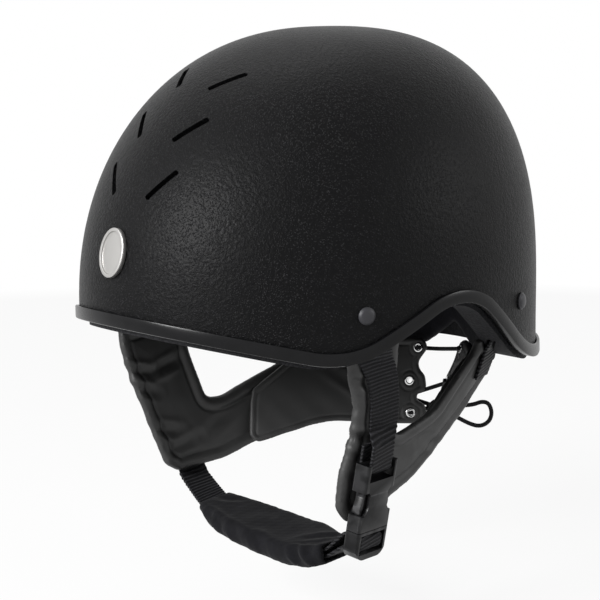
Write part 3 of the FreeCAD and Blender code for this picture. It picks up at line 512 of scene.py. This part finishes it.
def soft_copy(node: str, name: str, voxel_mm: float, passes: int, swell_mm: float
              ) -> bpy.types.Object:
    """A rounded closed piece grown from a CAD solid.

    Args:
        node: the CAD node that it stands for.
        name: the new piece's name.
        voxel_mm: mesh size.
        passes: smoothing passes, which round its edges.
        swell_mm: how far its skin moves out afterwards.

    Returns:
        The new object, which replaces the node.
    """
    source = bpy.data.objects.new(name + "_plain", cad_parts[node].data.copy())
    bpy.context.scene.collection.objects.link(source)
    weld = source.modifiers.new("weld", "WELD")
    weld.merge_threshold = WELD_REACH
    remesh = source.modifiers.new("remesh", "REMESH")
    remesh.mode = "VOXEL"
    remesh.voxel_size = voxel_mm * MM
    smooth = source.modifiers.new("smooth", "SMOOTH")
    smooth.factor = 0.5
    smooth.iterations = passes
    swell = source.modifiers.new("swell", "DISPLACE")
    swell.strength = swell_mm * MM
    swell.mid_level = 0.0
    shaped = source.evaluated_get(bpy.context.evaluated_depsgraph_get())
    mesh = bpy.data.meshes.new_from_object(shaped)
    mesh.name = name
    bpy.data.objects.remove(source)
    piece = linked(name, mesh)
    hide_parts(node)
    return piece


@dataclass(frozen=True)
class Outline:
    """Sharp edges of a CAD solid as samples, with the way along them."""

    tree: kdtree.KDTree
    reach: np.ndarray

    @classmethod
    def of(cls, node: str) -> "Outline":
        """Sample the sharp edges of a node about every millimetre."""
        shape = bmesh.new()
        shape.from_mesh(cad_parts[node].data)
        bmesh.ops.remove_doubles(shape, verts=shape.verts, dist=WELD_REACH)
        sharp = [edge for edge in shape.edges
                 if len(edge.link_faces) == 2 and edge.calc_face_angle() > SHARP_FROM]
        follow: Dict[int, List] = {}
        for edge in sharp:
            for vertex in edge.verts:
                follow.setdefault(vertex.index, []).append(edge)
        seen = set()
        samples: List[Vector] = []
        reach: List[float] = []
        for first in sharp:
            if first.index in seen:
                continue
            edge = first
            vertex = first.verts[0]
            run = 0.0
            while edge is not None:
                seen.add(edge.index)
                far = edge.other_vert(vertex)
                steps = max(1, int(edge.calc_length() / MM))
                for step in range(steps):
                    share = step / steps
                    samples.append(vertex.co.lerp(far.co, share))
                    reach.append(run + share * edge.calc_length())
                run += edge.calc_length()
                vertex = far
                edge = next((e for e in follow[far.index] if e.index not in seen), None)
        tree = kdtree.KDTree(len(samples))
        for index, sample in enumerate(samples):
            tree.insert(sample, index)
        tree.balance()
        shape.free()
        return cls(tree, np.array(reach))

    def measure(self, places: np.ndarray) -> Tuple[np.ndarray, np.ndarray]:
        """Distance to the nearest sharp edge, and how far along the edges that is, in mm."""
        found = [self.tree.find(place) for place in places]
        away = np.array([hit[2] for hit in found]) / MM
        along = self.reach[[hit[1] for hit in found]] / MM
        return away, along


@dataclass(frozen=True)
class Seam:
    """A rolled edge with a row of stitches inside it, in millimetres."""

    roll: float = 0.8
    roll_at: float = 2.9
    roll_width: float = 2.1
    inset: float = 6.2
    groove: float = 0.7
    groove_width: float = 1.0
    crown: float = 0.5
    crown_reach: float = 11.0
    pitch: float = 3.1
    stitch: Triple = (1.9, 0.5, 0.68)
    band: float = 0.5
    facing: float = 0.35
    least_members: int = 3
    step_range: Tuple[float, float] = (0.3, 2.2)

    def amount(self, away: np.ndarray) -> np.ndarray:
        """How far a place moves out, from its distance to the piece's edge, in metres."""
        rolled = self.roll * np.exp(-((away - self.roll_at) / self.roll_width) ** 2)
        pressed = self.groove * np.exp(-((away - self.inset) / self.groove_width) ** 2)
        share = np.clip((away - self.inset) / self.crown_reach, 0, 1)
        return (rolled - pressed + self.crown * share * share * (3 - 2 * share)) * MM

    def stitches(self, piece: bpy.types.Object, away: np.ndarray, along: np.ndarray,
                 outward: np.ndarray, name: str) -> bpy.types.Object:
        """Thread stitches along the groove of a piece, on the side that faces out.

        Args:
            piece: the sewn piece.
            away: each vertex's distance to the edge.
            along: how far along the edges each vertex lies.
            outward: a rough outward way for each vertex.
            name: the new object's name.

        Returns:
            One object with all the stitches.
        """
        places = points_of(piece.data)
        ways = normals_of(piece.data)
        outside = np.sum(ways * outward, axis=1) > self.facing
        chosen = (np.abs(away - self.inset) < self.band) & outside
        bins: Dict[int, List[int]] = {}
        for index in np.nonzero(chosen)[0]:
            bins.setdefault(int(along[index] // self.pitch), []).append(index)
        shape = bmesh.new()
        for key, members in sorted(bins.items()):
            after = bins.get(key + 1)
            if len(members) < self.least_members or not after:
                continue
            centre = Vector(places[members].mean(axis=0))
            spread = np.linalg.norm(places[members] - np.array(centre), axis=1).max()
            if spread > self.pitch * MM:
                continue
            way = Vector(places[after].mean(axis=0)) - centre
            least, most = (share * self.pitch * MM for share in self.step_range)
            if way.length > most or way.length < least:
                continue
            up = Vector(ways[members].mean(axis=0)).normalized()
            way.normalize()
            side = up.cross(way).normalized()
            rise = way.cross(side)
            length, width, height = (size * MM / 2 for size in self.stitch)
            turn = Matrix((way * length, side * width, rise * height)).transposed()
            matrix = Matrix.Translation(centre) @ turn.to_4x4()
            bmesh.ops.create_uvsphere(shape, u_segments=8, v_segments=5, radius=1.0, matrix=matrix)
        mesh = bpy.data.meshes.new(name)
        shape.to_mesh(mesh)
        shape.free()
        return linked(name, mesh)


@dataclass
class Shell:
    """Hard shell, edge trim, badge and rivets, with their edge widths in millimetres."""

    badge_edge: float = 0.35
    trim_edge: float = 0.8

    def build(self) -> None:
        """Dress the rigid outside."""
        dress_node("outer_shell", SHELL)
        dress_node("front_badge", BADGE, self.badge_edge)
        for place in ("front", "rear"):
            for side in ("left", "right"):
                dress_node("%s_rivet_%s" % (place, side), RIVET)
        dress_node("rivet_washers", STEEL)
        dress_node("edge_trim", TRIM, self.trim_edge)


@dataclass
class Lining:
    """Foam liner with its headband, nape pad and crown pad, in millimetres."""

    voxel: float = 1.3
    passes: int = 10
    swell: float = 0.35
    puff: float = 0.5
    puff_reach: float = 12.0
    wave: float = 0.35
    wave_length: float = 24.0
    fill: float = 0.6

    def build(self) -> None:
        """Dress the foam and grow the plush pads."""
        dress_node("impact_liner", FOAM)
        for node, name, seed in (("headband_pad", "headband_plush", 3),
                                 ("nape_pad", "nape_plush", 5),
                                 ("crown_pad", "crown_plush", 7)):
            pad = soft_copy(node, name, self.voxel, self.passes, self.swell)
            places = points_of(pad.data)
            away, _ = Outline.of(node).measure(places)
            share = np.clip(away / self.puff_reach, 0, 1)
            amount = self.puff * MM * np.sin(share * math.pi / 2)
            amount += self.wave * MM * ripple(places, self.wave_length, seed) * share
            push(pad.data, amount)
            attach(dress(pad, PLUSH), HELMET)


@dataclass
class Harness:
    """Leather pads and nape flaps with the webs that carry them, in millimetres."""

    pad_voxel: float = 0.7
    flap_voxel: float = 0.6
    passes: int = 6
    swell: float = 0.18
    wave: float = 0.16
    wave_length: float = 13.0
    fill: float = 0.4
    web_voxel: float = 0.5
    web_passes: int = 2
    front_rib: float = 0.14
    rear_rib: float = 0.05
    pad_seam: Seam = Seam()
    flap_seam: Seam = Seam(roll=0.25, roll_at=1.5, roll_width=1.2, inset=3.2, groove=0.25,
                           groove_width=0.6, crown=0.15, pitch=2.9)
    left_creases: Sequence[Crease] = (
        Crease((84, -50, -32), (82, -30, -34), 1.6, 2.4),
        Crease((78, -46, -62), (75, -26, -62), 1.5, 2.6),
        Crease((80, -44, -46), (77, -34, -47), 0.7, 2.2),
        Crease((76, -34, -60), (72, 0, -76), 0.8, 3.0),
        Crease((74, 8, -68), (68, 26, -74), 0.7, 2.6),
        Crease((66, 39, -64), (62, 50, -52), 0.6, 2.4),
    )
    right_creases: Sequence[Crease] = (
        Crease((-69, -70, -45), (-74, -50, -49), 1.7, 2.6),
        Crease((-74, -50, -49), (-76, -30, -44), 1.4, 2.6),
        Crease((-69, -64, -55), (-70, -46, -60), 0.9, 2.4),
        Crease((-68, -52, -78), (-70, -34, -82), 1.0, 2.6),
        Crease((-67, -46, -92), (-69, -22, -86), 0.9, 2.6),
        Crease((-69, -18, -86), (-69, 8, -70), 0.9, 3.0),
    )
    left_flap_creases: Sequence[Crease] = (
        Crease((68, 21, -58), (53, 63, -35), 0.9, 2.0),
        Crease((66, 18, -63), (54, 52, -48), 0.5, 2.4),
    )
    right_flap_creases: Sequence[Crease] = (
        Crease((-50, 44, -50), (-28, 68, -72), 0.6, 2.6),
    )

    def leather(self, node: str, name: str, seam: Seam, creases: Sequence[Crease], voxel: float,
                seed: int) -> None:
        """Grow one sewn leather piece and its stitches.

        Args:
            node: the CAD node.
            name: the piece's name.
            seam: its rolled edge and stitches.
            creases: folds pressed into it.
            voxel: mesh size in millimetres.
            seed: seed of its waviness.
        """
        piece = soft_copy(node, name, voxel, self.passes, self.swell)
        places = points_of(piece.data)
        away, along = Outline.of(node).measure(places)
        amount = seam.amount(away) + self.wave * MM * ripple(places, self.wave_length, seed)
        for crease in creases:
            amount += crease.amount(places)
        push(piece.data, amount)
        outward = places.copy()
        outward[:, 2] = 0.0
        outward /= np.linalg.norm(outward, axis=1)[:, None]
        sewn = seam.stitches(piece, away, along, outward, name + "_stitches")
        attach(dress(piece, LEATHER), HELMET)
        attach(dress(sewn, THREAD), HELMET)

    def build(self) -> None:
        """Grow the pads, the flaps and the webs."""
        pads = (("left", self.left_creases, 11), ("right", self.right_creases, 13))
        flaps = (("left", self.left_flap_creases, 17), ("right", self.right_flap_creases, 19))
        for side, creases, seed in pads:
            self.leather(side + "_harness_pad", side + "_pad_leather", self.pad_seam, creases,
                         self.pad_voxel, seed)
        for side, creases, seed in flaps:
            self.leather(side + "_nape_flap", side + "_flap_leather", self.flap_seam, creases,
                         self.flap_voxel, seed)
        for node in ("left_front_web", "right_front_web", "left_rear_web", "right_rear_web"):
            web = soft_copy(node, node.replace("_web", "_webbing"), self.web_voxel,
                            self.web_passes, 0.0)
            ribbed(web, WEB, self.front_rib if "front" in node else self.rear_rib)
            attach(dress(web, WEB), HELMET)


@dataclass
class Lacing:
    """Eyelets, lace, knot and the hanging loop of the bow, in millimetres.

    The bow's route gives distances from the knot along its heading, in degrees, and heights.
    """

    eyelet_edge: float = 0.2
    voxel: float = 0.33
    passes: int = 3
    swell: float = 0.06
    diameter: float = 2.3
    knot: Triple = (-5.6, 90.6, -75.1)
    heading: float = 53.1
    first: float = 3.65
    route: Sequence[Tuple[float, float]] = (
        (0.4, -0.4), (8.0, 0.0), (17.0, 0.3), (22.0, 2.2), (26.0, 1.2), (27.8, -4.4),
        (26.0, -9.4), (21.0, -11.8), (15.0, -10.0), (8.0, -6.0), (0.4, -2.4))

    def bow(self) -> bpy.types.Object:
        """The loop of the bow, on the route of its CAD solid."""
        angle = math.radians(self.heading)
        along = Vector((math.cos(angle), math.sin(angle), 0))
        points = [(Vector(self.knot) + along * (away + self.first) + Vector((0, 0, rise))) * MM
                  for away, rise in self.route]
        curve = bpy.data.curves.new("bow_lace", "CURVE")
        curve.dimensions = "3D"
        curve.bevel_depth = self.diameter * MM / 2
        curve.bevel_resolution = 5
        curve.resolution_u = 14
        curve.use_fill_caps = True
        spline = curve.splines.new("NURBS")
        spline.points.add(len(points) - 1)
        for control, point in zip(spline.points, points):
            control.co = (*point, 1.0)
        spline.use_endpoint_u = True
        spline.order_u = 3
        piece = bpy.data.objects.new("bow_lace", curve)
        bpy.context.scene.collection.objects.link(piece)
        piece.data.materials.append(LACE.material())
        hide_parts("bow_loop")
        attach(piece, HELMET)
        return piece

    def build(self) -> None:
        """Dress the eyelets and grow the laces."""
        dress_node("left_eyelets", STEEL, self.eyelet_edge)
        dress_node("right_eyelets", STEEL, self.eyelet_edge)
        for node, name in (("nape_lace", "drawn_lace"), ("lace_knot", "tied_knot")):
            cord = soft_copy(node, name, self.voxel, self.passes, self.swell)
            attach(dress(cord, LACE), HELMET)
        self.bow()


@dataclass
class Buckle:
    """Side-release buckle, with its edge width in millimetres."""

    edge: float = 0.3

    def build(self) -> None:
        """Dress its four plastic pieces."""
        for node in ("buckle_socket", "buckle_plug", "prong_front", "prong_rear"):
            dress_node(node, PLASTIC, self.edge)


@dataclass
class ChinStrap:
    """Web and padded sleeve under the chin, in millimetres.

    Each wave of the sleeve has its height, its length and its seed.
    """

    web_voxel: float = 0.5
    web_passes: int = 2
    web_rib: float = 0.14
    loop_voxel: float = 0.45
    loop_rib: float = 0.12
    sleeve_voxel: float = 0.8
    sleeve_passes: int = 5
    sleeve_swell: float = 0.15
    sleeve_fill: float = 0.5
    sleeve_waves: Sequence[Tuple[float, float, int]] = ((0.3, 15.0, 23), (0.12, 5.0, 29))
    fixed_end: Triple = (-62.0, -27.0, -110.0)
    free_end: Triple = (40.0, -32.0, -123.0)
    folds: Sequence[Crease] = (
        Crease((-38, -46, -114), (-24, -44, -122), 1.2, 2.4),
        Crease((-30, -48, -114), (-12, -48, -124), 1.3, 2.8),
        Crease((-40, -30, -112), (-22, -20, -122), 1.0, 2.6),
        Crease((-14, -50, -116), (4, -49, -126), 0.9, 2.8),
        Crease((8, -50, -116), (24, -50, -126), 0.8, 3.0),
        Crease((42, -52, -116), (52, -50, -127), 1.6, 2.4),
        Crease((50, -50, -115), (62, -46, -125), 1.3, 2.2),
        Crease((36, -44, -115), (54, -20, -118), 0.9, 2.6),
    )

    def blended(self, piece: bpy.types.Object, finish: Finish) -> None:
        """Dress a piece and bake its place into its mesh."""
        dress(piece, finish)
        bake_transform(piece)

    def build(self) -> None:
        """Grow the webs and the folded sleeve."""
        web = soft_copy("chin_web", "chin_webbing", self.web_voxel, self.web_passes, 0.0)
        ribbed(web, STRAP_WEB, self.web_rib)
        self.blended(web, STRAP_WEB)
        loop = soft_copy("plug_web", "plug_webbing", self.loop_voxel, self.web_passes, 0.0)
        ribbed(loop, WEB, self.loop_rib)
        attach(dress(loop, WEB), STRAP)
        sleeve = soft_copy("chin_pad", "chin_sleeve", self.sleeve_voxel, self.sleeve_passes,
                           self.sleeve_swell)
        places = points_of(sleeve.data)
        amount = np.zeros(len(places))
        for height, length, seed in self.sleeve_waves:
            amount += height * MM * ripple(places, length, seed)
        for fold in self.folds:
            amount += fold.amount(places)
        push(sleeve.data, amount)
        self.blended(sleeve, SLEEVE)


def white_rays(graph: Graph) -> bpy.types.NodeSocket:
    """1 for the rays that see the backdrop as white, directly or in metal and glass."""
    seen = graph.node("ShaderNodeLightPath").outputs
    shine = graph.math("MAXIMUM", seen["Is Glossy Ray"], seen["Is Transmission Ray"])
    return graph.math("MAXIMUM", seen["Is Camera Ray"], shine)


@dataclass(frozen=True)
class Lamp:
    """A soft square lamp that faces the cap: place and side in metres, power in watts."""

    name: str
    place: Triple
    size: float
    power: float


@dataclass
class Studio:
    """Pale floor and backdrop, soft lamps and the camera.

    The camera's eye and the floor's drop are in millimetres, the floor's other sizes in metres.
    """

    eye: Triple = (961.716, -781.110, 192.225)
    right: Triple = (0.62768, 0.77844, -0.00725)
    up: Triple = (-0.11868, 0.10489, 0.98738)
    back: Triple = (0.76937, -0.61889, 0.15823)
    lens: float = 146.11
    sensor: float = 36.0
    clip: Tuple[float, float] = (0.05, 30.0)
    lamps: Sequence[Lamp] = (
        Lamp("front_lamp", (0.05, -1.40, 0.66), 0.6, 36.0),
        Lamp("side_lamp", (1.10, 1.10, 0.50), 0.5, 5.5),
        Lamp("top_lamp", (-0.60, 0.30, 1.40), 0.8, 4.0),
    )
    floor_half: float = 6.0
    floor_shade: float = 0.86
    floor_drop: float = 32.0
    floor_glow: float = 0.91
    fade_reach: Tuple[float, float] = (0.35, 1.1)
    ambient: float = 0.10

    def camera(self) -> None:
        """Place the camera as the photograph was taken."""
        data = bpy.data.cameras.new("camera")
        data.lens = self.lens
        data.sensor_width = self.sensor
        data.clip_start, data.clip_end = self.clip
        eye = bpy.data.objects.new("camera", data)
        bpy.context.scene.collection.objects.link(eye)
        turn = Matrix((self.right, self.up, self.back)).transposed().to_4x4()
        eye.matrix_world = Matrix.Translation(Vector(self.eye) * MM) @ turn
        bpy.context.scene.camera = eye

    def lamp(self, lamp: Lamp) -> None:
        """Hang one lamp and turn it to the cap."""
        data = bpy.data.lights.new(lamp.name, "AREA")
        data.shape = "SQUARE"
        data.size = lamp.size
        data.energy = lamp.power
        hung = bpy.data.objects.new(lamp.name, data)
        bpy.context.scene.collection.objects.link(hung)
        hung.location = lamp.place
        hung.rotation_mode = "QUATERNION"
        hung.rotation_quaternion = Vector(lamp.place).to_track_quat("Z", "Y")

    def floor(self) -> None:
        """A wide pale sheet, low enough to clear the released chin strap."""
        low = CAD_BOX[0].z - self.floor_drop * MM
        mesh = bpy.data.meshes.new("floor")
        half = self.floor_half
        mesh.from_pydata([(-half, -half, low), (half, -half, low), (half, half, low),
                          (-half, half, low)], [], [(0, 1, 2, 3)])
        piece = bpy.data.objects.new("floor", mesh)
        bpy.context.scene.collection.objects.link(piece)
        made = bpy.data.materials.new("floor_pale")
        made.use_nodes = True
        made.node_tree.nodes.clear()
        graph = Graph(made.node_tree)
        matt = graph.node("ShaderNodeBsdfDiffuse", {"Color": (*(self.floor_shade,) * 3, 1.0)})
        glow = graph.node("ShaderNodeEmission", {"Color": WHITE, "Strength": 1.0})
        place = graph.node("ShaderNodeNewGeometry").outputs["Position"]
        reach = graph.vector("LENGTH", {0: place}, "Value")
        fade = graph.math("MAXIMUM", graph.span(reach, *self.fade_reach), self.floor_glow)
        share = graph.times(white_rays(graph), fade)
        mixed = graph.node("ShaderNodeMixShader", {0: share, 1: matt.outputs[0],
                                                   2: glow.outputs[0]})
        graph.node("ShaderNodeOutputMaterial", {"Surface": mixed.outputs[0]})
        mesh.materials.append(made)

    def world(self) -> None:
        """Even pale surroundings, white where the camera sees them."""
        world = bpy.data.worlds.new("studio")
        bpy.context.scene.world = world
        world.use_nodes = True
        world.node_tree.nodes.clear()
        graph = Graph(world.node_tree)
        strength = graph.plus(graph.times(white_rays(graph), 1 - self.ambient), self.ambient)
        shine = graph.node("ShaderNodeBackground", {"Color": WHITE, "Strength": strength})
        graph.node("ShaderNodeOutputWorld", {"Surface": shine.outputs[0]})

    def build(self) -> None:
        """Set the whole stage."""
        self.camera()
        self.floor()
        self.world()
        for lamp in self.lamps:
            self.lamp(lamp)
        bpy.context.scene.view_settings.view_transform = "Standard"


def main() -> None:
    """Build the stage and every sub-assembly."""
    logging.basicConfig(level=logging.INFO)
    Studio().build()
    for part in (Shell(), Lining(), Harness(), Lacing(), Buckle(), ChinStrap()):
        part.build()
        log.info("built %s", type(part).__name__)


if __name__ == "__main__":
    main()
